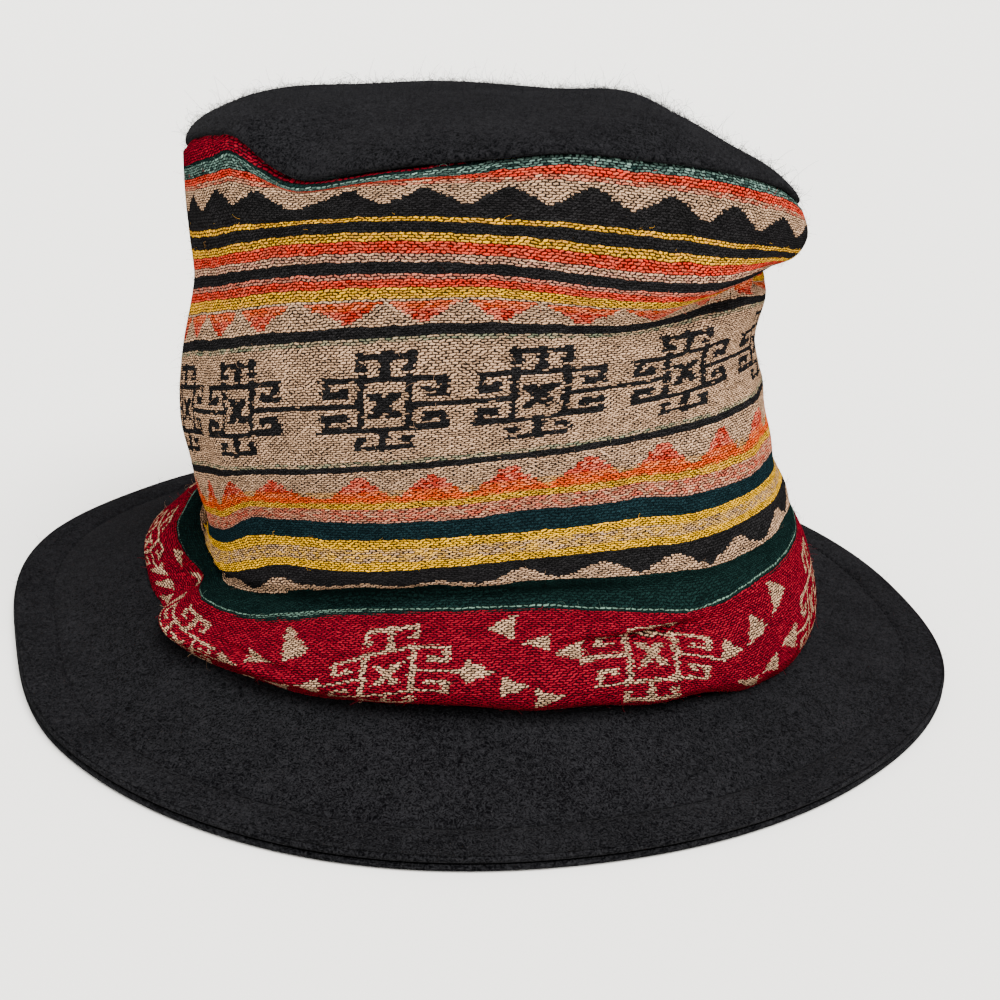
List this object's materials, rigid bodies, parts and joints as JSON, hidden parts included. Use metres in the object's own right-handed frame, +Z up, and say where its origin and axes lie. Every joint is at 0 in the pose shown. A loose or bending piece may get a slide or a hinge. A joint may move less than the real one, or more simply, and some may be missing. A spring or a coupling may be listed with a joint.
{
  "type": "woven bucket hat with felt brim",
  "caption": "Soft bucket hat: a slouched crown of striped geometric weave, a domed black wool felt crown top and a flat black felt brim that rests on a table.",
  "frame": {"origin": "middle of the brim's outline, on the surface that the hem rests on", "axes": "+Z up through the crown, -Y towards the front of the hat, +X towards the viewer's right of the front"},
  "size_m": [0.2582, 0.2582, 0.14],
  "materials": {
    "striped_weave": "coarse twill of wool yarn in tan, black, red, orange, yellow and dark green stripes, matt",
    "black_felt": "fulled black wool cloth with a soft hairy nap, matt"
  },
  "bodies": {
    "root": {"crown_side": "striped_weave", "crown_top": "black_felt", "brim_upper": "black_felt", "brim_under": "black_felt"}
  },
  "joints": []
}
